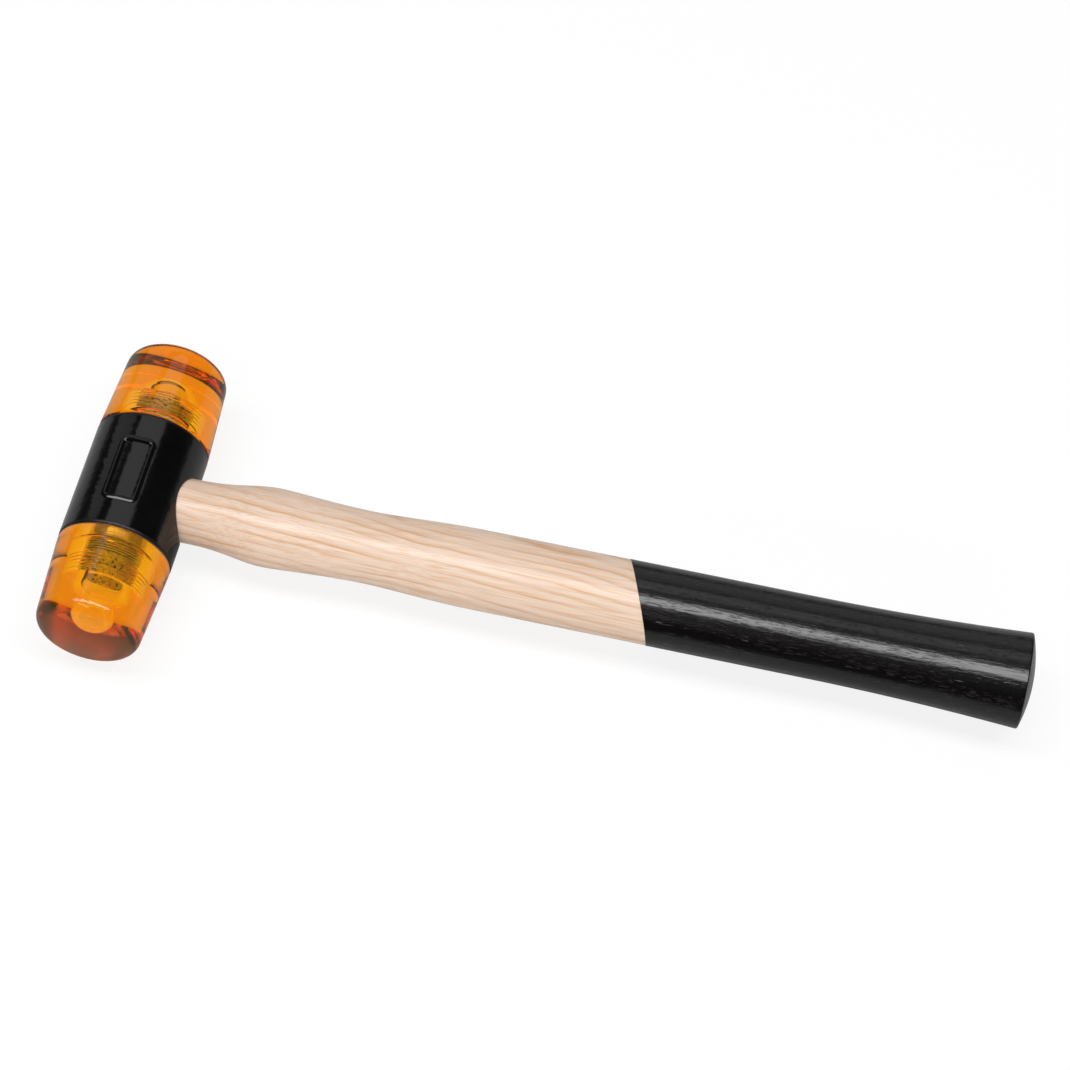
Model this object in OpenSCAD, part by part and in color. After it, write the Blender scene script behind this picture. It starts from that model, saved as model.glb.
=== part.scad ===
// Soft-face hammer: a black cast housing, two clear amber faces that unscrew from threaded studs,
// and an ash handle wedged in a blind eye, with a lacquered grip.
// The head axis runs along Y, the handle runs along +X, and the hammer lies on its side with +Z up.

/* [Housing] */
// Diameter of the housing
head_d = 35; // [30:1:60]
// Length of the housing between its two seats
housing_len = 41; // [36:1:80]
// Radius of the rounded edge at each seat
seat_round = 1; // [0.2:0.1:2]
// Width of the eye along the head axis, where the handle enters
eye_w = 20.4; // [15:0.2:24]
// Thickness of the eye, where the handle enters
eye_t = 17.8; // [13:0.2:20]
// Extra width of the eye towards the far side of the housing
eye_flare = 1.6; // [0:0.2:3]
// Thickness of metal behind the blind end of the eye
eye_floor = 3.5; // [2:0.5:6]

/* [Panel] */
// Length of the cast panel along the head axis
panel_len = 22; // [12:0.5:30]
// Width of the cast panel
panel_w = 10; // [6:0.2:14]
// Corner radius of the panel
panel_round = 1.6; // [1.2:0.1:2.5]
// Width of the raised rim round the panel
panel_rim = 0.9; // [0.4:0.1:1.1]
// Height of the rim above the housing
panel_rise = 0.25; // [0.1:0.05:0.6]
// Depth of the panel's floor below the housing
panel_sink = 0.4; // [0.1:0.05:1]

/* [Faces] */
// Length of a face from its seat to the middle of its striking end
face_len = 30.6; // [25:0.2:45]
// Draft of a face's side, in degrees
face_draft = 3.5; // [0.5:0.5:5]
// Radius of the rounded striking rim
rim_round = 4.5; // [1:0.5:9]
// Radius of the domed striking end
dome_r = 50; // [30:1:120]
// Step from the housing's side in to the face's side
face_step = 0.05; // [0.02:0.01:0.5]
// Thickness of solid plastic behind the striking end
face_pad = 10.5; // [6:0.5:12]
// Diameter of the round-bottomed hollow past the thread
hollow_d = 11.4; // [10:0.2:15]

/* [Thread] */
// Outside diameter of the stud's thread
stud_d = 15.6; // [12:0.2:20]
// Length of the stud outside the housing
stud_reach = 11; // [8:0.5:13]
// Length of the stud's plain neck between the seat and the thread
stud_neck = 6; // [3:0.5:8]
// Pitch of the thread
thread_pitch = 1.25; // [0.75:0.25:3]
// Depth of the thread
thread_depth = 0.6; // [0.3:0.1:1.2]
// Length of thread in the face past the stud's end
thread_spare = 1.5; // [0.5:0.5:3]
// Diameter of the stud's shank in the housing
shank_d = 12; // [8:0.5:13]
// Metal left between a shank and the eye
shank_floor = 2.5; // [1:0.5:4]

/* [Handle] */
// Distance from the head axis to the middle of the domed butt
handle_reach = 273.6; // [240:0.2:420]
// Length from the housing to the swell
neck_len = 25.5; // [15:0.5:40]
// Length from the swell to the waist
swell_len = 31; // [20:1:45]
// Length from the waist to the start of the grip
waist_len = 35; // [20:1:50]
// Length of the flared butt
flare_len = 64; // [40:1:90]
// Width of the swell along the head axis
swell_w = 25.4; // [21:0.2:32]
// Thickness of the swell
swell_t = 21; // [18:0.2:28]
// Width of the waist
waist_w = 22.8; // [18:0.2:30]
// Thickness of the waist
waist_t = 18.6; // [15:0.2:26]
// Width of the grip
grip_w = 25.4; // [20:0.2:34]
// Thickness of the grip
grip_t = 20.4; // [16:0.2:30]
// Width of the butt
butt_w = 29.8; // [24:0.2:40]
// Thickness of the butt
butt_t = 24; // [18:0.2:34]
// Radius of the rounded edge of the butt
butt_round = 0.6; // [0.3:0.1:3]
// Height of the butt's domed end
butt_dome = 2; // [0.5:0.1:5]
// Width of the flat in the middle of the dome
butt_flat = 9; // [4:0.5:16]

/* [Lacquer] */
// Distance from the head axis to the middle of the lacquer's edge
coat_start = 155.6; // [130:0.1:200]
// Slant of the lacquer's edge, in degrees
coat_slant = 21.6; // [0:0.1:35]
// Turn of the slant from the handle's width towards its thickness, in degrees
coat_turn = 13.6; // [-90:0.1:90]
// Thickness of the lacquer
coat_t = 0.1; // [0.05:0.05:0.6]

/* [Wedge] */
// Thickness of the wooden wedge at its outer end
wedge_t = 3.2; // [2:0.1:5]
// Thickness of the wooden wedge at its tip
wedge_tip = 0.8; // [0.4:0.1:1.5]
// Length of the wooden wedge
wedge_len = 18; // [14:0.5:24]

/* [Clearances] */
// Gap between a face and the housing at the seat
seat_gap = 0.05; // [0.02:0.01:0.2]
// Gap between the thread of a stud and the thread of its face
thread_gap = 0.1; // [0.05:0.01:0.3]
// Gap round a stud's shank in the housing
shank_gap = 0.05; // [0.02:0.01:0.1]
// Gap between the handle and the eye
eye_gap = 0.05; // [0.02:0.01:0.2]
// Gap between the wood and the lacquer
coat_gap = 0.02; // [0.02:0.01:0.1]
// Gap round the wedge
wedge_gap = 0.03; // [0.02:0.01:0.1]

/* [Hidden] */

$fn = 96;
// Length by which a cutting shape overruns what it cuts
overrun = 2;
// Sides of each cross-section of the handle
section_sides = 36;

head_r = head_d/2;
seat_y = housing_len/2;
// The two ends of the head: the sign of Y
upper = 1;
lower = -1;

// Half width of the eye at a place along the handle
function eye_half(x) = eye_w/2 + eye_flare/2*(head_r - x)/head_d;
eye_ratio = eye_t/eye_w;
// Blind end of the eye
socket_x = eye_floor - head_r;
shank_len = seat_y - eye_half(socket_x) - shank_floor;

face_r = head_r - face_step;
thread_len = stud_reach + thread_spare;
face_thread_r = stud_d/2 + thread_gap;

// Middle of the rim's arc, which touches the drafted side and the dome
dome_y = face_len - dome_r;
side_slope = tan(face_draft);
rim_base = face_r - rim_round/cos(face_draft);
rim_square = 1 + side_slope*side_slope;
rim_mean = rim_base*side_slope + dome_y;
rim_rest = rim_base*rim_base + dome_y*dome_y - pow(dome_r - rim_round, 2);
rim_y = (rim_mean + sqrt(rim_mean*rim_mean - rim_square*rim_rest))/rim_square;
rim_x = rim_base - rim_y*side_slope;

// Places along the handle, from the wedged end to the butt
tenon_x = socket_x + eye_gap;
swell_x = head_r + neck_len;
waist_x = swell_x + swell_len;
grip_x = waist_x + waist_len;
butt_x = handle_reach - butt_dome;
flare_x = butt_x - flare_len;

// Cross-sections as place, half width and half thickness
stations = [
    [tenon_x, eye_half(tenon_x) - eye_gap, (eye_half(tenon_x) - eye_gap)*eye_ratio],
    [head_r, eye_half(head_r) - eye_gap, (eye_half(head_r) - eye_gap)*eye_ratio],
    [swell_x, swell_w/2, swell_t/2],
    [waist_x, waist_w/2, waist_t/2],
    [grip_x, grip_w/2, grip_t/2],
    [flare_x, grip_w/2, grip_t/2],
    [butt_x - butt_round, butt_w/2, butt_t/2],
];
// Number of steps from each cross-section to the next
span_steps = [1, 8, 8, 8, 1, 8];
round_steps = 4;
dome_steps = 5;

// Middle of the hammer's length and the height of the head axis, for the origin under the middle
frame_x = (handle_reach + coat_gap + coat_t - head_r)/2;
frame_z = head_r;

// Powers of the soft changes after the eye, the swell and the waist: above 1 starts slowly
neck_power = 1.35;
swell_power = 0.75;
waist_power = 0.8;

// Share of the change from one cross-section to the next that is made after a share of the way
function soft(t, power) = (1 - cos(180*pow(t, power)))/2;
function change(span, t) =
    span == 1 ? soft(t, neck_power) :
    span == 2 ? soft(t, swell_power) :
    span == 3 ? soft(t, waist_power) :
    span == 5 ? t*t :
    t;

// Half size of the handle at a place: column 1 is its width and column 2 its thickness
function half_size(x, column) =
    let (
        span = max([for (i = [0:len(stations) - 2]) x >= stations[i][0] ? i : 0]),
        near = stations[span],
        far = stations[span + 1],
        t = (x - near[0])/(far[0] - near[0])
    )
    near[column] + (far[column] - near[column])*change(span, t);

// One oval cross-section from its half width and half thickness
function section(x, width, thickness) = [
    for (i = [0:section_sides - 1])
        let (turn = 360*i/section_sides)
        [x, width*cos(turn), thickness*sin(turn)]
];

// The shaft's own cross-section at a place, grown outwards by a thickness
function grown_section(x, grow) =
    section(x, half_size(x, 1) + grow, half_size(x, 2) + grow);

// Cross-sections of the whole shaft up to the butt's rounded edge
function shaft_sections(grow) = [
    for (span = [0:len(span_steps) - 1], step = [0:span_steps[span] - 1])
        let (
            near = stations[span][0],
            far = stations[span + 1][0]
        )
        grown_section(near + (far - near)*step/span_steps[span], grow)
];

// Turn of the butt's rounded edge until it meets the slope of the dome
butt_turn = 90 - atan(2*butt_dome/(butt_w/2));
function butt_inset(turn) = butt_round*(1 - cos(turn));
dome_flat = butt_flat/butt_w;

// Cross-sections of the butt's rounded edge
function edge_sections(grow) = [
    for (step = [0:round_steps])
        let (
            turn = butt_turn*step/round_steps,
            inset = butt_inset(turn) - grow,
            back = butt_round*(1 - sin(turn)/sin(butt_turn))
        )
        section(butt_x + grow - back, butt_w/2 - inset, butt_t/2 - inset)
];

// Cross-sections of the butt's domed end, in to the flat in its middle
function dome_sections(grow) = [
    for (step = [1:dome_steps])
        let (
            share = 1 - (1 - dome_flat)*step/dome_steps,
            rise = butt_dome*(1 - share*share)/(1 - dome_flat*dome_flat),
            inset = butt_inset(butt_turn) - grow
        )
        section(butt_x + grow + rise, share*(butt_w/2 - inset), share*(butt_t/2 - inset))
];
function butt_sections(grow) = concat(edge_sections(grow), dome_sections(grow));

// Furthest that the lacquer's slanted edge leans across the handle's width and through its thickness
lean_w = tan(coat_slant)*cos(coat_turn)*half_size(coat_start, 1);
lean_t = tan(coat_slant)*sin(coat_turn)*half_size(coat_start, 2);

// The lacquer's slanted edge, as points that lie on the shaft
function slanted_section(grow) = [
    for (i = [0:section_sides - 1])
        let (turn = 360*i/section_sides)
        grown_section(coat_start - lean_w*cos(turn) - lean_t*sin(turn), grow)[i]
];

// Cross-sections of the lacquer from its slanted edge to the butt
function coat_sections(grow) = concat(
    [slanted_section(grow)],
    [for (ring = shaft_sections(grow)) if (ring[0][0] > coat_start + norm([lean_w, lean_t])) ring],
    butt_sections(grow));

// Faces between successive cross-sections, and over the first and the last of them
function wall_faces(first, count) = [
    for (ring = [first:first + count - 2], i = [0:section_sides - 1])
        let (
            a = ring*section_sides,
            b = a + section_sides,
            next = (i + 1)%section_sides
        )
        [a + i, b + i, b + next, a + next]
];
function reversed(faces) = [for (face = faces) [for (i = [len(face) - 1:-1:0]) face[i]]];
function cap_face(ring) = [for (i = [0:section_sides - 1]) ring*section_sides + i];

// Faces that close the edge between the first outer and the first inner cross-section
function edge_faces(inner_ring) = [
    for (i = [0:section_sides - 1])
        let (
            next = (i + 1)%section_sides,
            inner = inner_ring*section_sides
        )
        [i, next, inner + next, inner + i]
];

// Puts the origin under the middle of the hammer, on the surface that it lies on
module in_frame()
{
    translate([-frame_x, 0, frame_z])
        children();
}

// Stands a shape on a seat of the housing, pointing out along the head axis
module on_seat(side)
{
    rotate([-90*side, 0, 0])
        translate([0, 0, seat_y])
            children();
}

// The eye's tapered oval from its blind end, drawn in by an inset
module eye_shape(inset)
{
    mouth_x = head_r + overrun;
    scale([1, 1, eye_ratio])
        translate([socket_x, 0, 0])
            rotate([0, 90, 0])
                cylinder(
                    r1 = eye_half(socket_x) - inset,
                    r2 = eye_half(mouth_x) - inset,
                    h = mouth_x - socket_x);
}

// Rectangle with round corners, its length along Y
module rounded_rectangle(length, width, corner)
{
    square([width - 2*corner, length], center = true);
    square([width, length - 2*corner], center = true);
    for (x = [-1, 1], y = [-1, 1])
        translate([x*(width/2 - corner), y*(length/2 - corner)])
            circle(r = corner);
}

// Upright block of the panel's outline, drawn in by an inset
module panel_block(inset)
{
    linear_extrude(head_d)
        rounded_rectangle(panel_len - 2*inset, panel_w - 2*inset, panel_round - inset);
}

// Plain cylinder along the head axis
module head_cylinder(radius, length)
{
    rotate([90, 0, 0])
        cylinder(r = radius, h = length, center = true);
}

// Cylinder along the head axis with rounded edges
module rounded_barrel()
{
    rotate([90, 0, 0])
        rotate_extrude()
        {
            translate([0, -seat_y])
                square([head_r - seat_round, housing_len]);
            translate([0, seat_round - seat_y])
                square([head_r, housing_len - 2*seat_round]);
            for (end = [-1, 1])
                translate([head_r - seat_round, end*(seat_y - seat_round)])
                    circle(r = seat_round);
        }
}

// Malleable iron casting with a blind eye, the stud holes and a bare panel on its upper side
module head_housing()
{
    color("#202123")
        in_frame()
            difference()
            {
                union()
                {
                    rounded_barrel();
                    intersection()
                    {
                        head_cylinder(head_r + panel_rise, housing_len);
                        panel_block(0);
                    }
                }
                difference()
                {
                    panel_block(panel_rim);
                    head_cylinder(head_r - panel_sink, housing_len);
                }
                eye_shape(0);
                for (side = [upper, lower])
                    on_seat(side)
                        translate([0, 0, -shank_len - shank_gap])
                            cylinder(r = shank_d/2 + shank_gap, h = shank_len + shank_gap + overrun);
            }
}

// Outline of the thread's ridges up to a height, swinging between two radii, as radius and height
function thread_points(first, second, top) = [
    for (ridge = [0:floor((top - stud_neck)/thread_pitch) - 1], half = [0, 1])
        [half == 0 ? first : second, stud_neck + (ridge + half/2)*thread_pitch]
];

// Threaded steel stud: a plain shank in the housing, a plain neck and a ridged end in the face
module stud(side)
{
    crest = stud_d/2;
    root = crest - thread_depth;
    color("#8d8f92")
        in_frame()
            on_seat(side)
                rotate_extrude()
                    polygon(concat(
                        [[0, -shank_len], [shank_d/2, -shank_len], [shank_d/2, seat_gap], [root, seat_gap]],
                        thread_points(root, crest, stud_reach),
                        [[root, stud_reach], [0, stud_reach]]));
}

module upper_stud()
{
    stud(upper);
}

module lower_stud()
{
    stud(lower);
}

// Half outline of a face's outside: a drafted side, a round rim and a domed end
module face_outline()
{
    meet = atan2(rim_y - dome_y, rim_x);
    reach = dome_r + overrun;
    translate([rim_x, rim_y])
        circle(r = rim_round);
    polygon([
        [0, 0],
        [face_r, 0],
        [rim_x + rim_round*cos(face_draft), rim_y + rim_round*sin(face_draft)],
        [rim_x, rim_y],
    ]);
    intersection()
    {
        translate([0, dome_y])
            circle(r = dome_r);
        polygon([
            [0, 0],
            [rim_x, rim_y],
            [reach*cos(meet), dome_y + reach*sin(meet)],
            [0, dome_y + reach],
        ]);
    }
}

// Half outline of a face's blind bore: a plain mouth, a ridged thread and a round-bottomed hollow
module bore_outline()
{
    crest = face_thread_r;
    root = crest + thread_depth;
    hollow_r = hollow_d/2;
    hollow_end = face_len - face_pad;
    polygon(concat(
        [[0, -overrun], [root, -overrun], [root, stud_neck]],
        thread_points(crest, root, thread_len),
        [[crest, thread_len], [0, thread_len]]));
    square([hollow_r, hollow_end - hollow_r]);
    intersection()
    {
        translate([0, hollow_end - hollow_r])
            circle(r = hollow_r);
        square([hollow_r, hollow_end]);
    }
}

// Clear amber striking face, bored to screw onto its stud
module face(side)
{
    color("#f0a02c")
        in_frame()
            on_seat(side)
                translate([0, 0, seat_gap])
                    rotate_extrude()
                        difference()
                        {
                            face_outline();
                            bore_outline();
                        }
}

module upper_face()
{
    face(upper);
}

module lower_face()
{
    face(lower);
}

// Wedge along the handle's end, grown outwards by a gap and running right across the eye
module wedge_block(gap)
{
    tip_x = tenon_x + wedge_len;
    rotate([90, 0, 0])
        linear_extrude(housing_len, center = true)
            polygon([
                [tenon_x - gap, -wedge_t/2 - gap],
                [tip_x + gap, -wedge_tip/2 - gap],
                [tip_x + gap, wedge_tip/2 + gap],
                [tenon_x - gap, wedge_t/2 + gap],
            ]);
}

// Ash handle: oval all along, slotted for the wedge, with a swell, a waist and a flared butt
module handle()
{
    sections = concat(shaft_sections(0), butt_sections(0));
    color("#e2c49a")
        in_frame()
            difference()
            {
                polyhedron(
                    points = [for (ring = sections, point = ring) point],
                    faces = concat(
                        wall_faces(0, len(sections)),
                        [cap_face(0)],
                        reversed([cap_face(len(sections) - 1)])));
                wedge_block(wedge_gap);
            }
}

// Black lacquer over the grip and the butt, with a slanted edge
module grip_coat()
{
    outer_grow = coat_gap + coat_t;
    outer = coat_sections(outer_grow);
    inner = coat_sections(coat_gap);
    count = len(outer);
    color("#1a1a1b")
        in_frame()
            polyhedron(
                points = [for (ring = concat(outer, inner), point = ring) point],
                faces = concat(
                    wall_faces(0, count),
                    reversed(wall_faces(count, count)),
                    edge_faces(count),
                    reversed([cap_face(count - 1)]),
                    [cap_face(2*count - 1)]));
}

// Wooden wedge across the blind eye, which spreads the handle's end as the handle is driven in
module wood_wedge()
{
    color("#c89a66")
        in_frame()
            intersection()
            {
                eye_shape(eye_gap);
                wedge_block(0);
            }
}

head_housing();
upper_stud();
lower_stud();
upper_face();
lower_face();
handle();
grip_coat();
wood_wedge();
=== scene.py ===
import math

import bpy
import bmesh
from mathutils import Matrix, Vector, noise


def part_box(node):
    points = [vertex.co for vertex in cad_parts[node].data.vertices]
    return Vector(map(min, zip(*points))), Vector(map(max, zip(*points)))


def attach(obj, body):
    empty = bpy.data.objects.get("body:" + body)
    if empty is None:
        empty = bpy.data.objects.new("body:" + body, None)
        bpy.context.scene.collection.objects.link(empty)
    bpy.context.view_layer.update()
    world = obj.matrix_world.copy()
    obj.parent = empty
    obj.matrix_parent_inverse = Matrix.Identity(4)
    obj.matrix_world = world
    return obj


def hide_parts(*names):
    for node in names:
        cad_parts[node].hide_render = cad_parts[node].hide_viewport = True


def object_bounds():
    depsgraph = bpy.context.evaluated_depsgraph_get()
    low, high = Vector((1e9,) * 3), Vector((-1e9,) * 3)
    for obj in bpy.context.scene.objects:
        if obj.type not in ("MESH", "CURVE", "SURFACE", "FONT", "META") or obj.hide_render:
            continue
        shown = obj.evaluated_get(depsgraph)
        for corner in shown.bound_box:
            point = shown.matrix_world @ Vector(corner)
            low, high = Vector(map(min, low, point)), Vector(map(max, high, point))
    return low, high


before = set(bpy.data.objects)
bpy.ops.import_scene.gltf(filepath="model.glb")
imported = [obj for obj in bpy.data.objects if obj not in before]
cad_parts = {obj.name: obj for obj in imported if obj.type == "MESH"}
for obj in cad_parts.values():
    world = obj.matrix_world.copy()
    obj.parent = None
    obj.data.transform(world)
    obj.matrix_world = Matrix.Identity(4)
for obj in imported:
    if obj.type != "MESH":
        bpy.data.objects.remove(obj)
cadLow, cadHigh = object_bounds()
mm = 0.001

# every piece is drawn in millimetres from the middle of the head:
# the head's axis is Y, the handle runs along +X and Z is up
faceLow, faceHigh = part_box("upper_face")
housingLow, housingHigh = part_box("head_housing")
handleLow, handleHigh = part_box("handle")
headMiddle = Vector(((faceLow.x + faceHigh.x)/2, 0, (faceLow.z + faceHigh.z)/2))
headRadius = (housingHigh.x - housingLow.x)/2/mm
seatY = housingHigh.y/mm
faceLength = (faceHigh.y - faceLow.y)/mm
seatGap = faceLow.y/mm - seatY
handleReach = (handleHigh.x - headMiddle.x)/mm
tenonX = (handleLow.x - headMiddle.x)/mm


def colour(hexText):
    parts = [int(hexText[i:i + 2], 16)/255 for i in (1, 3, 5)]
    return [p/12.92 if p <= 0.04045 else ((p + 0.055)/1.055)**2.4 for p in parts] + [1]


def per(size):
    # a texture's scale for a pattern of this size in mm
    return 1/(size*mm)


def ease(start, end, value):
    t = min(max((value - start)/(end - start), 0), 1)
    return t*t*(3 - 2*t)


def addNode(tree, kind, inputs=None, **settings):
    node = tree.nodes.new("ShaderNode" + kind)
    for key, value in settings.items():
        setattr(node, key, value)
    for key, value in (inputs or {}).items():
        if isinstance(value, bpy.types.NodeSocket):
            tree.links.new(value, node.inputs[key])
        else:
            node.inputs[key].default_value = value
    return node


def newFinish(name):
    finish = bpy.data.materials.new(name)
    finish.use_nodes = True
    finish.node_tree.nodes.clear()
    return finish, finish.node_tree


def ringPiece(name, rings, closed=False):
    # joins rings of points in turn; a ring of one point closes that end
    verts = [Vector(point)*mm for ring in rings for point in ring]
    starts = [0]
    for ring in rings:
        starts.append(starts[-1] + len(ring))
    pairs = [(k, k + 1) for k in range(len(rings) - 1)]
    if closed:
        pairs.append((len(rings) - 1, 0))
    faces = []
    for near, far in pairs:
        a, b = starts[near], starts[far]
        sides = max(len(rings[near]), len(rings[far]))
        for i in range(sides):
            j = (i + 1) % sides
            if len(rings[near]) == 1:
                faces.append((a, b + i, b + j))
            elif len(rings[far]) == 1:
                faces.append((a + j, a + i, b))
            else:
                faces.append((a + j, a + i, b + i, b + j))
    mesh = bpy.data.meshes.new(name)
    mesh.from_pydata(verts, [], faces)
    work = bmesh.new()
    work.from_mesh(mesh)
    bmesh.ops.recalc_face_normals(work, faces=work.faces)
    work.to_mesh(mesh)
    work.free()
    piece = bpy.data.objects.new(name, mesh)
    piece.location = headMiddle
    bpy.context.scene.collection.objects.link(piece)
    return piece


def cutAway(piece, cutter):
    cut = piece.modifiers.new("cut", "BOOLEAN")
    cut.object = cutter
    cut.operation = "DIFFERENCE"
    cut.solver = "EXACT"
    bpy.context.view_layer.update()
    settled = piece.evaluated_get(bpy.context.evaluated_depsgraph_get())
    mesh = bpy.data.meshes.new_from_object(settled)
    piece.modifiers.clear()
    piece.data = mesh
    bpy.data.objects.remove(cutter)


def dress(piece, body, node, finish, crease=35):
    piece.data.materials.clear()
    piece.data.materials.append(finish)
    piece.data.polygons.foreach_set("use_smooth", [True]*len(piece.data.polygons))
    piece.data.set_sharp_from_angle(angle=math.radians(crease))
    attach(piece, body)
    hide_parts(node)
    print(piece.name, "stands for", node, "with", len(piece.data.polygons), "faces")


def onSeat(side, radius, turn, height):
    # a point round the head's axis, out from the upper (1) or the lower (-1) seat
    return (radius*math.sin(turn), side*(seatY + height), side*radius*math.cos(turn))


# housing: a sand casting under thick black lacquer, with a bare cast panel on its upper side
housing = dict(
    sides=300,
    rowStep=0.35,
    edgeRound=1,
    eyeWidth=20.4,
    eyeThickness=17.8,
    eyeFlare=1.6,
    eyeFloor=3.5,
    eyeRound=0.7,
    panelLength=22,
    panelWidth=10,
    panelCorner=1.6,
    rimWidth=0.9,
    rimRise=0.25,
    panelSink=0.4,
    softness=0.35,
    waveSize=6,
    waveHeight=0.025,
    shankFloor=2.5,
    shankGap=0.05,
)


def eyeHalf(x):
    return housing["eyeWidth"]/2 + housing["eyeFlare"]/2*(headRadius - x)/(2*headRadius)


socketX = housing["eyeFloor"] - headRadius
shankLength = seatY - eyeHalf(socketX) - housing["shankFloor"]


def panelRelief(x, y):
    corner = housing["panelCorner"]
    dx = abs(x) - (housing["panelWidth"]/2 - corner)
    dy = abs(y) - (housing["panelLength"]/2 - corner)
    outside = math.hypot(max(dx, 0), max(dy, 0)) + min(max(dx, dy), 0) - corner
    soft = housing["softness"]
    rim = housing["rimWidth"]
    rise = housing["rimRise"]*ease(soft, -soft/2, outside)
    fall = (housing["rimRise"] + housing["panelSink"])*ease(soft/2 - rim, -soft - rim, outside)
    return rise - fall


def eyeDrop(x, y, z):
    # the lacquered edge of the eye rolls inwards, on the handle's side
    if x < 0:
        return 0
    half = eyeHalf(x)
    ratio = housing["eyeThickness"]/housing["eyeWidth"]
    away = (math.hypot(y/half, z/(half*ratio)) - 1)*half
    roll = housing["eyeRound"]
    share = min(max((roll - away)/roll, 0), 1)
    return roll*(1 - math.sqrt(1 - share*share))


def housingRing(radius, y, shaped):
    ring = []
    for i in range(housing["sides"]):
        turn = 2*math.pi*i/housing["sides"]
        x, z = radius*math.cos(turn), radius*math.sin(turn)
        grow = 0
        if shaped:
            grow = housing["waveHeight"]*noise.noise(Vector((x, y, z))/housing["waveSize"]*2)
            grow -= eyeDrop(x, y, z)
            if z > 0:
                grow += panelRelief(x, y)
        ring.append((x*(1 + grow/radius), y, z*(1 + grow/radius)))
    return ring


def makeHousing():
    edge = housing["edgeRound"]
    steps = 5
    roundEnd = [(headRadius - edge*(1 - math.sin(math.pi/2*k/steps)),
                 seatY - edge*(1 - math.cos(math.pi/2*k/steps))) for k in range(steps)]
    rows = round(2*(seatY - edge)/housing["rowStep"])
    rings = [[(0, seatY, 0)]]
    rings += [housingRing(r, y, False) for r, y in roundEnd]
    rings += [housingRing(headRadius, (seatY - edge)*(1 - 2*k/rows), True) for k in range(rows + 1)]
    rings += [housingRing(r, -y, False) for r, y in reversed(roundEnd)]
    rings.append([(0, -seatY, 0)])
    piece = ringPiece("castHousing", rings)
    far = headRadius + 2
    ratio = housing["eyeThickness"]/housing["eyeWidth"]
    sides = 128
    eye = [[(socketX, 0, 0)]]
    for x in (socketX, far):
        half = eyeHalf(x)
        eye.append([(x, half*math.cos(2*math.pi*i/sides), half*ratio*math.sin(2*math.pi*i/sides))
                    for i in range(sides)])
    eye.append([(far, 0, 0)])
    cutAway(piece, ringPiece("eyeCut", eye))
    bore = stud["shank"]/2 + housing["shankGap"]
    floor = -shankLength - housing["shankGap"]
    turns = [2*math.pi*i/sides for i in range(sides)]
    for side in (1, -1):
        hole = [[onSeat(side, 0, 0, floor)]]
        hole += [[onSeat(side, bore, t, h) for t in turns] for h in (floor, 2)]
        hole.append([onSeat(side, 0, 0, 2)])
        cutAway(piece, ringPiece("boreCut", hole))
    return piece


# studs: turned steel with a plain neck and a fine rolled thread, dull zinc with black flecks
stud = dict(
    sides=96,
    diameter=15.6,
    reach=11,
    neck=6,
    pitch=1.25,
    depth=0.6,
    shank=12,
    shankChamfer=0.5,
    endChamfer=1,
    rowStep=0.125,
)


def tooth(height, turn):
    # share of the thread's depth: round crests and roots along a helix
    return 0.5 - 0.5*math.cos(2*math.pi*(height/stud["pitch"] - turn/(2*math.pi)))


def makeStud(name, side):
    turns = [2*math.pi*i/stud["sides"] for i in range(stud["sides"])]
    root = stud["diameter"]/2 - stud["depth"]
    chamfer = stud["shankChamfer"]
    shank = stud["shank"]/2
    rings = [[onSeat(side, 0, 0, -shankLength)]]
    for r, h in ((shank - chamfer, -shankLength), (shank, chamfer - shankLength), (shank, seatGap),
                 (root, seatGap), (root, stud["neck"])):
        rings.append([onSeat(side, r, t, h) for t in turns])
    length = stud["reach"] - stud["neck"]
    rows = round(length/stud["rowStep"])
    for k in range(1, rows + 1):
        h = stud["neck"] + length*k/rows
        deep = stud["depth"]*ease(stud["neck"], stud["neck"] + stud["pitch"]/2, h)
        crop = max(h - (stud["reach"] - stud["endChamfer"]), 0)
        most = stud["diameter"]/2 - crop
        rings.append([onSeat(side, min(root + deep*tooth(h, t), most), t, h) for t in turns])
    rings.append([onSeat(side, 0, 0, stud["reach"])])
    return ringPiece(name, rings)


# faces: cast cellulose acetate, turned to shape and polished, bored and tapped for the stud
face = dict(
    sides=160,
    draft=3.5,
    rimRound=4.5,
    domeRadius=50,
    seatEdge=0.6,
    step=0.05,
    pad=10.5,
    hollowDiameter=11.4,
    mouthChamfer=0.6,
    boreDepth=0.15,
    linePitch=0.8,
    lineDepth=0.3,
    groovePitch=0.8,
    grooveWidth=0.4,
    grooveDepth=0.04,
    threadGap=0.1,
    threadSpare=1.5,
    sideRows=10,
    rimRows=18,
    domeRows=8,
    hollowRows=16,
)


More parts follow.
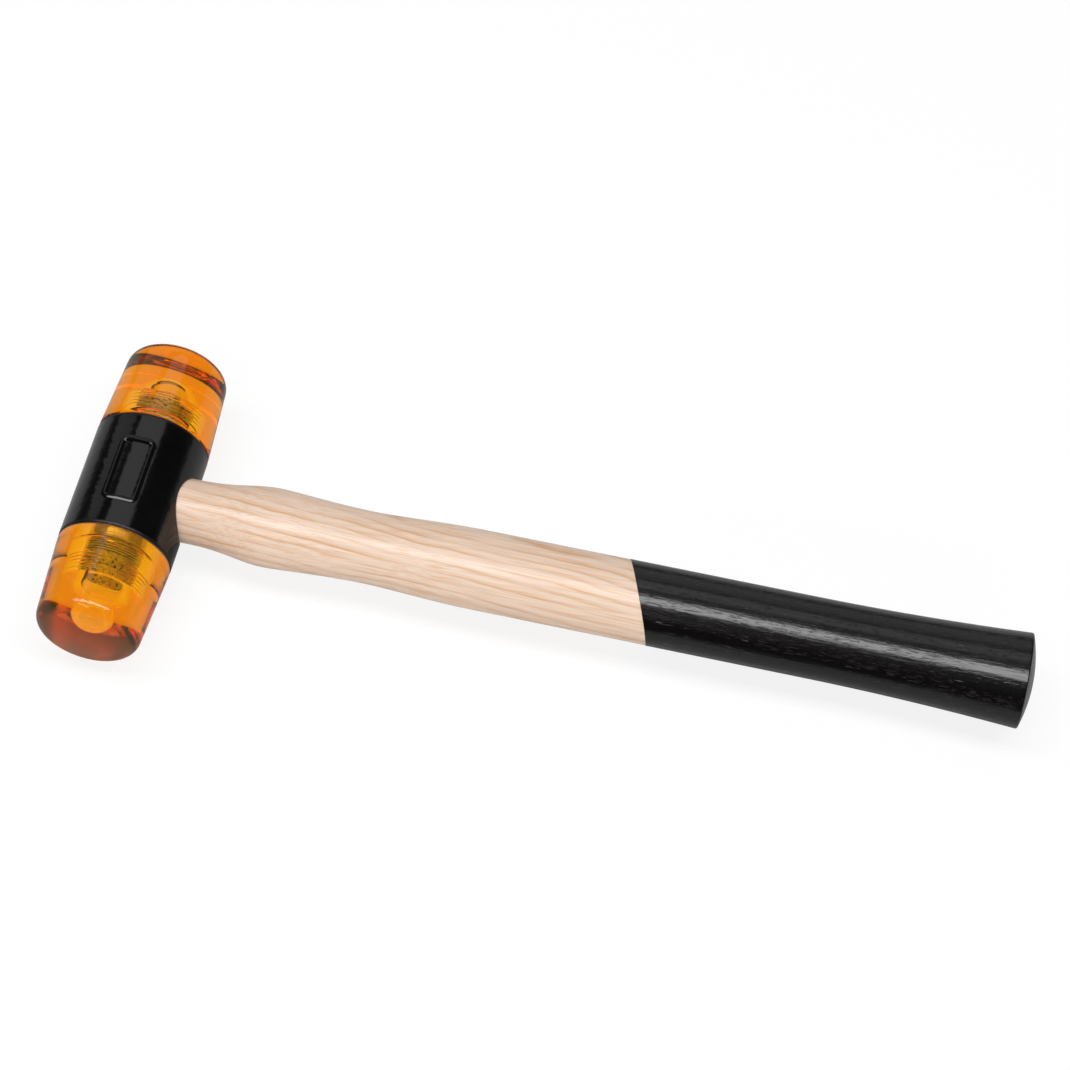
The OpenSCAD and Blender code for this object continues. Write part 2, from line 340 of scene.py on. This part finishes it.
def makeFace(name, side):
    turns = [2*math.pi*i/face["sides"] for i in range(face["sides"])]
    hollow = face["hollowDiameter"]/2
    crest = stud["diameter"]/2 + face["threadGap"]
    threadEnd = stud["reach"] + face["threadSpare"]
    depth = faceLength - face["pad"]
    ball = depth - hollow
    rim = face["rimRound"]
    dome = face["domeRadius"]
    draft = math.radians(face["draft"])
    seatRadius = headRadius - face["step"]
    # the rim's arc touches the drafted side and the domed striking end
    inner = seatRadius - rim/math.cos(draft)
    lean = math.tan(draft)
    domeY = faceLength - dome
    along, square = 1 + lean*lean, inner*inner + domeY*domeY - (dome - rim)**2
    mean = inner*lean + domeY
    rimY = (mean + math.sqrt(mean*mean - along*square))/along
    rimX = inner - rimY*lean
    meet = math.atan2(rimY - domeY, rimX)
    edge = face["seatEdge"]

    def circle(radius, height):
        return [onSeat(side, radius, t, seatGap + height) for t in turns]

    rings = [[onSeat(side, 0, 0, seatGap + depth)]]
    for k in range(1, face["hollowRows"] + 1):
        a = math.pi/2*k/face["hollowRows"]
        rings.append(circle(hollow*math.sin(a), ball + hollow*math.cos(a)))
    rings.append(circle(hollow, threadEnd))
    rows = round((threadEnd - stud["neck"])/stud["rowStep"])
    for k in range(rows + 1):
        h = threadEnd - (threadEnd - stud["neck"])*k/rows
        deep = face["boreDepth"]*ease(threadEnd, threadEnd - stud["pitch"]/2, h)
        rings.append([onSeat(side, crest + deep*tooth(h, t), t, seatGap + h) for t in turns])
    mouth = crest + face["boreDepth"]
    # the boring tool left fine lines in the plain mouth
    plain = stud["neck"] - face["mouthChamfer"]
    for k in range(int(plain/face["linePitch"])):
        h = plain - k*face["linePitch"]
        rings += [circle(mouth, h), circle(mouth + face["lineDepth"], h - face["linePitch"]/2)]
    rings.append(circle(mouth, 0))
    # fine grooves that the lathe left on the flat that meets the seat
    grooves = int((seatRadius - edge - mouth)/face["groovePitch"])
    for k in range(grooves):
        r = mouth + (k + 0.5)*face["groovePitch"]
        half = face["grooveWidth"]/2
        rings += [circle(r - half, 0), circle(r, face["grooveDepth"]), circle(r + half, 0)]
    rings.append(circle(seatRadius - edge, 0))
    rings.append(circle(seatRadius - edge*0.3, edge*0.3))
    sideEnd = (rimX + rim*math.cos(draft), rimY + rim*math.sin(draft))
    for k in range(face["sideRows"]):
        t = k/face["sideRows"]
        h = edge + (sideEnd[1] - edge)*t
        rings.append(circle(seatRadius - h*math.tan(draft), h))
    for k in range(face["rimRows"] + 1):
        a = draft + (meet - draft)*k/face["rimRows"]
        rings.append(circle(rimX + rim*math.cos(a), rimY + rim*math.sin(a)))
    for k in range(1, face["domeRows"]):
        a = meet + (math.pi/2 - meet)*k/face["domeRows"]
        rings.append(circle(dome*math.cos(a), domeY + dome*math.sin(a)))
    rings.append([onSeat(side, 0, 0, seatGap + faceLength)])
    return ringPiece(name, rings)


# handle: ash turned on a copy lathe, oval all along, with a swell, a waist and a flared butt
handle = dict(
    sides=120,
    eyeGap=0.05,
    neckLength=25.5,
    swellLength=31,
    waistLength=35,
    flareLength=64,
    swell=(25.4, 21),
    waist=(22.8, 18.6),
    grip=(25.4, 20.4),
    butt=(29.8, 24),
    buttRound=0.6,
    buttDome=2,
    buttFlat=9,
    neckPower=1.35,
    swellPower=0.75,
    waistPower=0.8,
    rowStep=1,
    tenonChamfer=0.4,
)
wedge = dict(
    gap=0.03,
    thickness=3.2,
    tip=0.8,
    length=18,
)


def handleStations():
    ratio = housing["eyeThickness"]/housing["eyeWidth"]
    swellX = headRadius + handle["neckLength"]
    waistX = swellX + handle["swellLength"]
    buttX = handleReach - handle["buttDome"]
    eyeSizes = [(x, eyeHalf(x) - handle["eyeGap"]) for x in (tenonX, headRadius)]
    places = [(x, half, half*ratio) for x, half in eyeSizes]
    for x, size in ((swellX, "swell"), (waistX, "waist"), (waistX + handle["waistLength"], "grip"),
                    (buttX - handle["flareLength"], "grip"), (buttX - handle["buttRound"], "butt")):
        places.append((x, handle[size][0]/2, handle[size][1]/2))
    return places


stations = handleStations()


def softChange(t, power):
    return (1 - math.cos(math.pi*t**power))/2


def halfSize(x):
    # half width and half thickness of the handle at a place
    span = max(i for i in range(len(stations) - 1) if x >= stations[i][0] - 1e-9)
    near, far = stations[span], stations[span + 1]
    t = min(max((x - near[0])/(far[0] - near[0]), 0), 1)
    powers = {1: handle["neckPower"], 2: handle["swellPower"], 3: handle["waistPower"]}
    share = softChange(t, powers[span]) if span in powers else t*t if span == 5 else t
    return [near[c] + (far[c] - near[c])*share for c in (1, 2)]


def oval(x, half, sides):
    turns = [2*math.pi*i/sides for i in range(sides)]
    return [(x, half[0]*math.cos(turn), half[1]*math.sin(turn)) for turn in turns]


def buttRings(grow, sides):
    # a small round edge, then a shallow dome with a flat in its middle
    edge = handle["buttRound"]
    dome = handle["buttDome"]
    wide, thick = handle["butt"][0]/2, handle["butt"][1]/2
    end = math.pi/2 - math.atan(2*dome/wide)
    flat = handle["buttFlat"]/handle["butt"][0]
    buttX = handleReach - dome
    rings = []
    for k in range(9):
        turn = end*k/8
        inset = edge*(1 - math.cos(turn)) - grow
        x = buttX + grow - edge*(1 - math.sin(turn)/math.sin(end))
        rings.append(oval(x, [wide - inset, thick - inset], sides))
    for k in range(1, 13):
        share = 1 - (1 - flat)*k/12
        rise = dome*(1 - share*share)/(1 - flat*flat)
        rings.append(oval(buttX + grow + rise, [share*(wide - inset), share*(thick - inset)], sides))
    rings.append([(handleReach + grow, 0, 0)])
    return rings


def makeHandle():
    sides = handle["sides"]
    endX = stations[-1][0]
    rows = round((endX - tenonX)/handle["rowStep"])
    chamfer = handle["tenonChamfer"]
    rings = [[(tenonX, 0, 0)], oval(tenonX, [h - chamfer for h in halfSize(tenonX)], sides)]
    for k in range(rows):
        x = tenonX + chamfer + (endX - tenonX - chamfer)*k/rows
        rings.append(oval(x, halfSize(x), sides))
    rings += buttRings(0, sides)
    piece = ringPiece("ashHandle", rings)
    # slot for the wedge
    gap = wedge["gap"]
    tipX = tenonX + wedge["length"]
    outer, tip = wedge["thickness"]/2 + gap, wedge["tip"]/2 + gap
    flank = (outer - tip)/wedge["length"]
    block = [(tenonX - 1, outer + flank), (tipX + gap, tip), (tipX + gap, -tip), (tenonX - 1, -outer - flank)]
    slot = [[(0, -20, 0)]]
    slot += [[(x, y, z) for x, z in block] for y in (-20, 20)]
    slot.append([(0, 20, 0)])
    cutAway(piece, ringPiece("slotCut", slot))
    return piece


# grip: black lacquer dipped over the wood, its edge slanted
coat = dict(
    start=155.6,
    slant=21.6,
    turn=13.6,
    gap=0.02,
    thickness=0.1,
    rows=110,
)


def coatRing(share, grow):
    # the edge lies in a plane that leans towards one side of the handle
    lean = math.tan(math.radians(coat["slant"]))
    side = math.radians(coat["turn"])
    wide, thick = halfSize(coat["start"])
    endX = stations[-1][0]
    ring = []
    for i in range(handle["sides"]):
        turn = 2*math.pi*i/handle["sides"]
        out = math.cos(side)*wide*math.cos(turn) + math.sin(side)*thick*math.sin(turn)
        first = coat["start"] - lean*out
        x = first + (endX - first)*share
        half = halfSize(x)
        ring.append((x, (half[0] + grow)*math.cos(turn), (half[1] + grow)*math.sin(turn)))
    return ring


def makeCoat():
    inner, outer = coat["gap"], coat["gap"] + coat["thickness"]
    shares = [k/coat["rows"] for k in range(coat["rows"])]
    rings = list(reversed(buttRings(inner, handle["sides"])))
    rings += [coatRing(s, inner) for s in reversed(shares)]
    rings.append([(x - 0.03, y, z) for x, y, z in coatRing(0, (inner + outer)/2)])
    rings += [coatRing(s, outer) for s in shares]
    rings += buttRings(outer, handle["sides"])
    return ringPiece("gripLacquer", rings)


# sand-cast iron under thick black stoving lacquer: deep black, glossy, with soft ripples from the casting
def castLacquer():
    look = dict(black="#050506", bloom="#0a0a0b", rippleSize=2.2, rippleHeight=0.05, pitSize=0.45,
                pitHeight=0.003, iron="#a8a49c", ironBright="#c4c0b8", thinFrom=1.5, thinTo=0.9, dull=0.3,
                bareTo=0.25)
    finish, tree = newFinish("castLacquer")
    place = addNode(tree, "TexCoord").outputs["Object"]
    cloud = addNode(tree, "TexNoise", {"Vector": place, "Scale": per(7), "Detail": 3.0})
    tone = addNode(tree, "ValToRGB", {"Fac": cloud.outputs["Fac"]})
    tone.color_ramp.elements[0].position = 0.35
    tone.color_ramp.elements[0].color = colour(look["black"])
    tone.color_ramp.elements[1].position = 0.75
    tone.color_ramp.elements[1].color = colour(look["bloom"])
    gloss = addNode(tree, "MapRange", {"Value": cloud.outputs["Fac"], "To Min": 0.1, "To Max": 0.16})
    ripple = addNode(tree, "TexNoise", {"Vector": place, "Scale": per(look["rippleSize"]), "Detail": 1.0})
    waves = addNode(tree, "Bump", {"Height": ripple.outputs["Fac"], "Distance": look["rippleHeight"]*mm})
    pits = addNode(tree, "TexNoise", {"Vector": place, "Scale": per(look["pitSize"]), "Detail": 2.0})
    skin = addNode(tree, "Bump", {"Height": pits.outputs["Fac"], "Distance": look["pitHeight"]*mm,
                                  "Normal": waves.outputs["Normal"]})
    # the seats under the faces are turned after lacquering and stay bare iron
    along = addNode(tree, "SeparateXYZ", {"Vector": place})
    out = addNode(tree, "Math", {0: along.outputs["Y"]}, operation="ABSOLUTE")
    seat = addNode(tree, "Math", {0: out.outputs["Value"], 1: (seatY - look["bareTo"])*mm},
                   operation="GREATER_THAN")
    iron = addNode(tree, "MixRGB", {"Fac": cloud.outputs["Fac"], "Color1": colour(look["iron"]),
                                    "Color2": colour(look["ironBright"])})
    shown = addNode(tree, "MixRGB", {"Fac": seat.outputs["Value"], "Color1": tone.outputs["Color"],
                                     "Color2": iron.outputs["Color"]})
    # towards the rim the lacquer runs thin and loses its gloss
    thin = addNode(tree, "MapRange", {
        "Value": out.outputs["Value"], "From Min": (seatY - look["thinFrom"])*mm,
        "From Max": (seatY - look["thinTo"])*mm, "To Min": 0.0, "To Max": look["dull"]})
    rough = addNode(tree, "Math", {0: gloss.outputs["Result"], 1: thin.outputs["Result"]}, operation="ADD")
    shader = addNode(tree, "BsdfPrincipled", {
        "Base Color": shown.outputs["Color"], "Metallic": seat.outputs["Value"], "IOR": 1.5,
        "Roughness": rough.outputs["Value"], "Normal": skin.outputs["Normal"]})
    addNode(tree, "OutputMaterial", {"Surface": shader.outputs["BSDF"]})
    return finish


# cellulose acetate, cast clear amber and polished: bright orange where it is thick, pale at its edges
def amberAcetate():
    look = dict(clear=20, red=0.955, green=0.45, blue=0.002, scuffSize=3, turnSize=0.7, turnHeight=0.002,
                haze=0.06, milk="#e7c659")
    finish, tree = newFinish("amberAcetate")
    place = addNode(tree, "TexCoord").outputs["Object"]
    scuff = addNode(tree, "TexNoise", {"Vector": place, "Scale": per(look["scuffSize"]), "Detail": 4.0})
    gloss = addNode(tree, "MapRange", {"Value": scuff.outputs["Fac"], "To Min": 0.0, "To Max": 0.05})
    lathe = addNode(tree, "Mapping", {"Vector": place, "Scale": (per(30), per(look["turnSize"]), per(30))})
    lines = addNode(tree, "TexNoise", {"Vector": lathe.outputs["Vector"], "Scale": 1.0, "Detail": 2.0})
    turned = addNode(tree, "Bump", {"Height": lines.outputs["Fac"], "Distance": look["turnHeight"]*mm})
    clear = addNode(tree, "BsdfPrincipled", {
        "Base Color": colour("#fff6ea"), "Roughness": gloss.outputs["Result"], "IOR": 1.48,
        "Transmission Weight": 1.0, "Normal": turned.outputs["Normal"]})
    # acetate is never quite clear: a little light comes back out of its skin as a haze
    skin = addNode(tree, "NewGeometry")
    share = addNode(tree, "MapRange", {"Value": skin.outputs["Backfacing"], "To Min": look["haze"],
                                       "To Max": 0.0})
    haze = addNode(tree, "BsdfDiffuse", {"Color": colour(look["milk"])})
    shader = addNode(tree, "MixShader", {0: share.outputs["Result"], 1: clear.outputs["BSDF"],
                                         2: haze.outputs["BSDF"]})
    # what is left of each colour after a stretch of plastic sets its absorption
    loss = [-math.log(look[c])/(look["clear"]*mm) for c in ("red", "green", "blue")]
    density = max(loss)*1.02
    body = addNode(tree, "VolumeAbsorption", {
        "Color": [1 - part/density for part in loss] + [1], "Density": density})
    addNode(tree, "OutputMaterial", {"Surface": shader.outputs["Shader"], "Volume": body.outputs["Volume"]})
    return finish


# zinc-plated steel, turned and rolled: pale, dull grey, with black flecks
def zincSteel():
    look = dict(zinc="#e6e6e2", dull="#cdcdc8", fleck="#0d0c0b", fleckSize=0.8, fleckFrom=1, fleckTo=8,
                metal=0.55)
    finish, tree = newFinish("zincSteel")
    place = addNode(tree, "TexCoord").outputs["Object"]
    cloud = addNode(tree, "TexNoise", {"Vector": place, "Scale": per(2.5), "Detail": 3.0})
    tone = addNode(tree, "MixRGB", {"Fac": cloud.outputs["Fac"], "Color1": colour(look["zinc"]),
                                    "Color2": colour(look["dull"])})
    # black flecks grow from none near the seat to dense at the stud's end
    along = addNode(tree, "SeparateXYZ", {"Vector": place})
    out = addNode(tree, "Math", {0: along.outputs["Y"]}, operation="ABSOLUTE")
    bare = addNode(tree, "MapRange", {
        "Value": out.outputs["Value"], "From Min": (seatY + look["fleckFrom"])*mm,
        "From Max": (seatY + look["fleckTo"])*mm, "To Min": 0.74, "To Max": 0.56})
    spots = addNode(tree, "TexNoise", {"Vector": place, "Scale": per(look["fleckSize"]), "Detail": 3.0})
    over = addNode(tree, "Math", {0: spots.outputs["Fac"], 1: bare.outputs["Result"]}, operation="SUBTRACT")
    flecked = addNode(tree, "MapRange", {"Value": over.outputs["Value"], "From Min": 0.0, "From Max": 0.05})
    skin = addNode(tree, "MixRGB", {"Fac": flecked.outputs["Result"], "Color1": tone.outputs["Color"],
                                    "Color2": colour(look["fleck"])})
    metal = addNode(tree, "MapRange", {"Value": flecked.outputs["Result"], "To Min": look["metal"],
                                       "To Max": 0.0})
    shader = addNode(tree, "BsdfPrincipled", {
        "Base Color": skin.outputs["Color"], "Metallic": metal.outputs["Result"], "Roughness": 0.62})
    addNode(tree, "OutputMaterial", {"Surface": shader.outputs["BSDF"]})
    return finish


# ash, planed, sanded and varnished: pale cream with tan rings of open pores, under a clear gloss
def varnishedAsh():
    look = dict(pale="#eed5c1", streak="#d8a678", pore="#bf8d61", ringWidth=2.5, across=(0.052, 0.85, 0.53),
                wander=6.0, fibre=0.26, fibreLength=18, poreWidth=0.22, poreLength=5)
    finish, tree = newFinish("varnishedAsh")
    place = addNode(tree, "TexCoord").outputs["Object"]
    # the rings cross the handle as nearly flat sheets that lean a little from its axis and wander
    drift = addNode(tree, "Mapping", {"Vector": place, "Scale": (per(50), per(17), per(17))})
    stray = addNode(tree, "TexNoise", {"Vector": drift.outputs["Vector"], "Scale": 1.0, "Detail": 3.0})
    reach = addNode(tree, "VectorMath", {0: place, 1: look["across"]}, operation="DOT_PRODUCT")
    shifted = addNode(tree, "Math", {
        0: stray.outputs["Fac"], 1: look["wander"]*mm, 2: reach.outputs["Value"]}, operation="MULTIPLY_ADD")
    count = addNode(tree, "Math", {0: shifted.outputs["Value"], 1: per(look["ringWidth"])},
                    operation="MULTIPLY")
    share = addNode(tree, "Math", {0: count.outputs["Value"]}, operation="FRACT")
    early = addNode(tree, "ValToRGB", {"Fac": share.outputs["Value"]})
    ramp = early.color_ramp
    ramp.elements[0].color = (0, 0, 0, 1)
    ramp.elements[1].position = 0.7
    ramp.elements[1].color = (0, 0, 0, 1)
    for at, level in ((0.2, 1.0), (0.36, 0.45)):
        ramp.elements.new(at).color = (level, level, level, 1)
    # the streaks fade in and out along the grain
    patch = addNode(tree, "Mapping", {"Vector": place, "Scale": (per(38), per(4), per(4))})
    patches = addNode(tree, "TexNoise", {"Vector": patch.outputs["Vector"], "Scale": 1.0, "Detail": 2.0})
    fade = addNode(tree, "MapRange", {"Value": patches.outputs["Fac"], "From Min": 0.36, "From Max": 0.64,
                                      "To Min": 0.1, "To Max": 0.95})
    strength = addNode(tree, "Math", {0: early.outputs["Color"], 1: fade.outputs["Result"]},
                       operation="MULTIPLY")
    ring = addNode(tree, "MixRGB", {"Fac": strength.outputs["Value"], "Color1": colour(look["pale"]),
                                    "Color2": colour(look["streak"])})
    grain = addNode(tree, "Mapping", {"Vector": place, "Scale": (
        per(look["fibreLength"]), per(look["fibre"]), per(look["fibre"]))})
    fibres = addNode(tree, "TexNoise", {"Vector": grain.outputs["Vector"], "Scale": 1.0, "Detail": 3.0})
    lines = addNode(tree, "MapRange", {"Value": fibres.outputs["Fac"], "From Min": 0.48, "From Max": 0.66,
                                       "To Max": 0.6})
    wood = addNode(tree, "MixRGB", {"Fac": lines.outputs["Result"], "Color1": ring.outputs["Color"],
                                    "Color2": colour(look["streak"])})
    dash = addNode(tree, "Mapping", {"Vector": place, "Scale": (
        per(look["poreLength"]), per(look["poreWidth"]), per(look["poreWidth"]))})
    dashes = addNode(tree, "TexNoise", {"Vector": dash.outputs["Vector"], "Scale": 1.0, "Detail": 1.0})
    opened = addNode(tree, "MapRange", {"Value": dashes.outputs["Fac"], "From Min": 0.58, "From Max": 0.7,
                                        "To Max": 0.6})
    pores = addNode(tree, "Math", {0: opened.outputs["Result"], 1: strength.outputs["Value"]},
                    operation="MULTIPLY")
    skin = addNode(tree, "MixRGB", {"Fac": pores.outputs["Value"], "Color1": wood.outputs["Color"],
                                    "Color2": colour(look["pore"])})
    relief = addNode(tree, "Bump", {"Height": pores.outputs["Value"], "Distance": -0.01*mm})
    shader = addNode(tree, "BsdfPrincipled", {
        "Base Color": skin.outputs["Color"], "Roughness": 0.45, "IOR": 1.5,
        "Coat Weight": 0.35, "Coat Roughness": 0.14, "Normal": relief.outputs["Normal"]})
    addNode(tree, "OutputMaterial", {"Surface": shader.outputs["BSDF"]})
    return finish


# black lacquer on open-pored ash: glossy, with the wood's long pores still showing as broken streaks
def grainLacquer():
    look = dict(black="#080606", brown="#2c2322", poreWidth=0.3, poreLength=3.0, poreDepth=0.3,
                grainWidth=0.7, grainLength=9, grainHeight=0.06)
    finish, tree = newFinish("grainLacquer")
    place = addNode(tree, "TexCoord").outputs["Object"]
    dash = addNode(tree, "Mapping", {"Vector": place, "Scale": (
        per(look["poreLength"]), per(look["poreWidth"]), per(look["poreWidth"]))})
    dashes = addNode(tree, "TexNoise", {"Vector": dash.outputs["Vector"], "Scale": 1.0, "Detail": 2.0})
    zones = addNode(tree, "Mapping", {"Vector": place, "Scale": (per(60), per(3), per(3))})
    bands = addNode(tree, "TexNoise", {"Vector": zones.outputs["Vector"], "Scale": 1.0, "Detail": 1.0})
    where = addNode(tree, "MapRange", {"Value": bands.outputs["Fac"], "From Min": 0.4, "From Max": 0.5})
    opened = addNode(tree, "MapRange", {"Value": dashes.outputs["Fac"], "From Min": 0.58,
                                        "From Max": 0.63})
    pores = addNode(tree, "Math", {0: opened.outputs["Result"], 1: where.outputs["Result"]},
                    operation="MULTIPLY")
    tone = addNode(tree, "MixRGB", {"Fac": pores.outputs["Value"], "Color1": colour(look["black"]),
                                    "Color2": colour(look["brown"])})
    # the lacquer sinks between the fibres, which breaks its sheen into streaks
    comb = addNode(tree, "Mapping", {"Vector": place, "Scale": (
        per(look["grainLength"]), per(look["grainWidth"]), per(look["grainWidth"]))})
    grain = addNode(tree, "TexNoise", {"Vector": comb.outputs["Vector"], "Scale": 1.0, "Detail": 2.0})
    sunk = addNode(tree, "Bump", {"Height": grain.outputs["Fac"], "Distance": look["grainHeight"]*mm})
    relief = addNode(tree, "Bump", {"Height": pores.outputs["Value"], "Distance": -look["poreDepth"]*mm,
                                    "Normal": sunk.outputs["Normal"]})
    shader = addNode(tree, "BsdfPrincipled", {
        "Base Color": tone.outputs["Color"], "Roughness": 0.22, "IOR": 1.5,
        "Coat Weight": 0.25, "Coat Roughness": 0.1, "Normal": relief.outputs["Normal"]})
    addNode(tree, "OutputMaterial", {"Surface": shader.outputs["BSDF"]})
    return finish


# beech wedge, sawn: reddish tan with short dark flecks
def sawnBeech():
    look = dict(beech="#c99b6d", fleck="#a5754a")
    finish, tree = newFinish("sawnBeech")
    place = addNode(tree, "TexCoord").outputs["Object"]
    dash = addNode(tree, "Mapping", {"Vector": place, "Scale": (per(2), per(0.3), per(0.3))})
    flecks = addNode(tree, "TexNoise", {"Vector": dash.outputs["Vector"], "Scale": 1.0, "Detail": 2.0})
    tone = addNode(tree, "MixRGB", {"Fac": flecks.outputs["Fac"], "Color1": colour(look["beech"]),
                                    "Color2": colour(look["fleck"])})
    relief = addNode(tree, "Bump", {"Height": flecks.outputs["Fac"], "Distance": 0.02*mm})
    shader = addNode(tree, "BsdfPrincipled", {
        "Base Color": tone.outputs["Color"], "Roughness": 0.6, "Normal": relief.outputs["Normal"]})
    addNode(tree, "OutputMaterial", {"Surface": shader.outputs["BSDF"]})
    return finish


acetate = amberAcetate()
zinc = zincSteel()
dress(makeHousing(), "head", "head_housing", castLacquer())
for name, side in (("upper", 1), ("lower", -1)):
    dress(makeStud(name + "Stud", side), name + "_spindle", name + "_stud", zinc)
    dress(makeFace(name + "Face", side), name + "_striker", name + "_face", acetate)
dress(makeHandle(), "head", "handle", varnishedAsh())
dress(makeCoat(), "head", "grip_coat", grainLacquer())
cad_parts["wood_wedge"].data.materials.clear()
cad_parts["wood_wedge"].data.materials.append(sawnBeech())
print("pieces dressed")


# floor: a plain white table; the eye, metal and clear plastic see it nearly white, with a faint shadow
stage = dict(size=8, drop=0.1, tone="#ececec", mirrorTone="#a8a8a8", glow=0.85,
             shadowTone="#707070", mirrored=0.1)


def makeFloor():
    finish, tree = newFinish("whiteTable")
    path = addNode(tree, "LightPath")
    mirrored = addNode(tree, "Math", {0: path.outputs["Is Glossy Ray"], 1: stage["mirrored"]},
                       operation="MULTIPLY")
    seen = addNode(tree, "Math", {0: path.outputs["Is Camera Ray"], 1: mirrored.outputs["Value"]},
                   operation="MAXIMUM")
    shown = addNode(tree, "Math", {0: seen.outputs["Value"], 1: path.outputs["Is Transmission Ray"]},
                    operation="MAXIMUM")
    tone = addNode(tree, "MixRGB", {"Fac": path.outputs["Is Glossy Ray"], "Color1": colour(stage["tone"]),
                                    "Color2": colour(stage["mirrorTone"])})
    matt = addNode(tree, "BsdfDiffuse", {"Color": tone.outputs["Color"]})
    glow = addNode(tree, "Emission", {"Color": (1, 1, 1, 1), "Strength": stage["glow"]})
    shade = addNode(tree, "BsdfDiffuse", {"Color": colour(stage["shadowTone"])})
    white = addNode(tree, "AddShader", {0: glow.outputs["Emission"], 1: shade.outputs["BSDF"]})
    both = addNode(tree, "MixShader", {0: shown.outputs["Value"], 1: matt.outputs["BSDF"],
                                       2: white.outputs["Shader"]})
    addNode(tree, "OutputMaterial", {"Surface": both.outputs["Shader"]})
    half = stage["size"]/2
    mesh = bpy.data.meshes.new("floor")
    corners = [(-half, -half, 0), (half, -half, 0), (half, half, 0), (-half, half, 0)]
    mesh.from_pydata(corners, [], [(0, 1, 2, 3)])
    mesh.materials.append(finish)
    floor = bpy.data.objects.new("floor", mesh)
    floor.location.z = cadLow.z - stage["drop"]*mm
    bpy.context.scene.collection.objects.link(floor)


makeFloor()


def direction(azimuth, elevation):
    a, e = math.radians(azimuth), math.radians(elevation)
    return Vector((math.sin(a)*math.cos(e), -math.cos(a)*math.cos(e), math.sin(e)))


# lights: a long strip overhead with a dimmer skirt behind, a small box over the camera's left, a dim wall
# and a wide fill from the front that the gloss does not show
lights = dict(
    strip=dict(azimuth=0, elevation=87, distance=1.1, width=1.7, height=0.34, radiance=6.6),
    skirt=dict(azimuth=190, elevation=58, distance=1.2, width=0.9, height=0.42, radiance=0.8),
    box=dict(azimuth=-27, elevation=54, distance=1.1, width=0.45, height=0.1, radiance=5.0),
    wall=dict(azimuth=205, elevation=28, distance=1.5, width=2.0, height=0.85, radiance=0.4),
    fill=dict(azimuth=0, elevation=14, distance=1.3, width=2.4, height=0.9, radiance=1.4),
)
for name, lamp in lights.items():
    data = bpy.data.lights.new(name, "AREA")
    data.shape = "RECTANGLE"
    data.size = lamp["width"]
    data.size_y = lamp["height"]
    data.energy = lamp["radiance"]*math.pi*lamp["width"]*lamp["height"]
    out = direction(lamp["azimuth"], lamp["elevation"])
    light = bpy.data.objects.new(name, data)
    light.location = out*lamp["distance"]
    light.rotation_euler = out.to_track_quat("Z", "Y").to_euler()
    light.visible_camera = False
    light.visible_glossy = name != "fill"
    bpy.context.scene.collection.objects.link(light)

# world: a dark room, a little paler at the horizon
room = dict(horizon="#565656", upper="#333335", paleTo=2, dimFrom=9)
world = bpy.data.worlds.new("room")
world.use_nodes = True
world.node_tree.nodes.clear()
sky = addNode(world.node_tree, "TexCoord")
height = addNode(world.node_tree, "SeparateXYZ", {"Vector": sky.outputs["Generated"]})
fall = addNode(world.node_tree, "MapRange", {
    "Value": height.outputs["Z"], "From Min": math.sin(math.radians(room["paleTo"])),
    "From Max": math.sin(math.radians(room["dimFrom"]))}, interpolation_type="SMOOTHSTEP")
dome = addNode(world.node_tree, "MixRGB", {"Fac": fall.outputs["Result"], "Color1": colour(room["horizon"]),
                                           "Color2": colour(room["upper"])})
air = addNode(world.node_tree, "Background", {"Color": dome.outputs["Color"], "Strength": 1.0})
addNode(world.node_tree, "OutputWorld", {"Surface": air.outputs["Background"]})
bpy.context.scene.world = world

# camera: placed as for the photograph, whose frame is square
camera = dict(azimuth=10.436, elevation=57.602, roll=2.552, distance=882.46,
              aim=(-7.694, 17.674, 14.689), lens=98.24)
lens = bpy.data.cameras.new("camera")
lens.lens = camera["lens"]
lens.sensor_width = 36
lens.clip_start = 0.01
eyePoint = bpy.data.objects.new("camera", lens)
back = direction(camera["azimuth"], camera["elevation"])
level = Vector((math.cos(math.radians(camera["azimuth"])), math.sin(math.radians(camera["azimuth"])), 0))
rise = back.cross(level)
roll = math.radians(camera["roll"])
right = level*math.cos(roll) + rise*math.sin(roll)
upward = rise*math.cos(roll) - level*math.sin(roll)
spot = Vector(camera["aim"])*mm + back*camera["distance"]*mm
eyePoint.matrix_world = Matrix((right, upward, back)).transposed().to_4x4()
eyePoint.matrix_world.translation = spot
bpy.context.scene.collection.objects.link(eyePoint)
bpy.context.scene.camera = eyePoint
bpy.context.scene.view_settings.view_transform = "Standard"
print("camera and lights set")
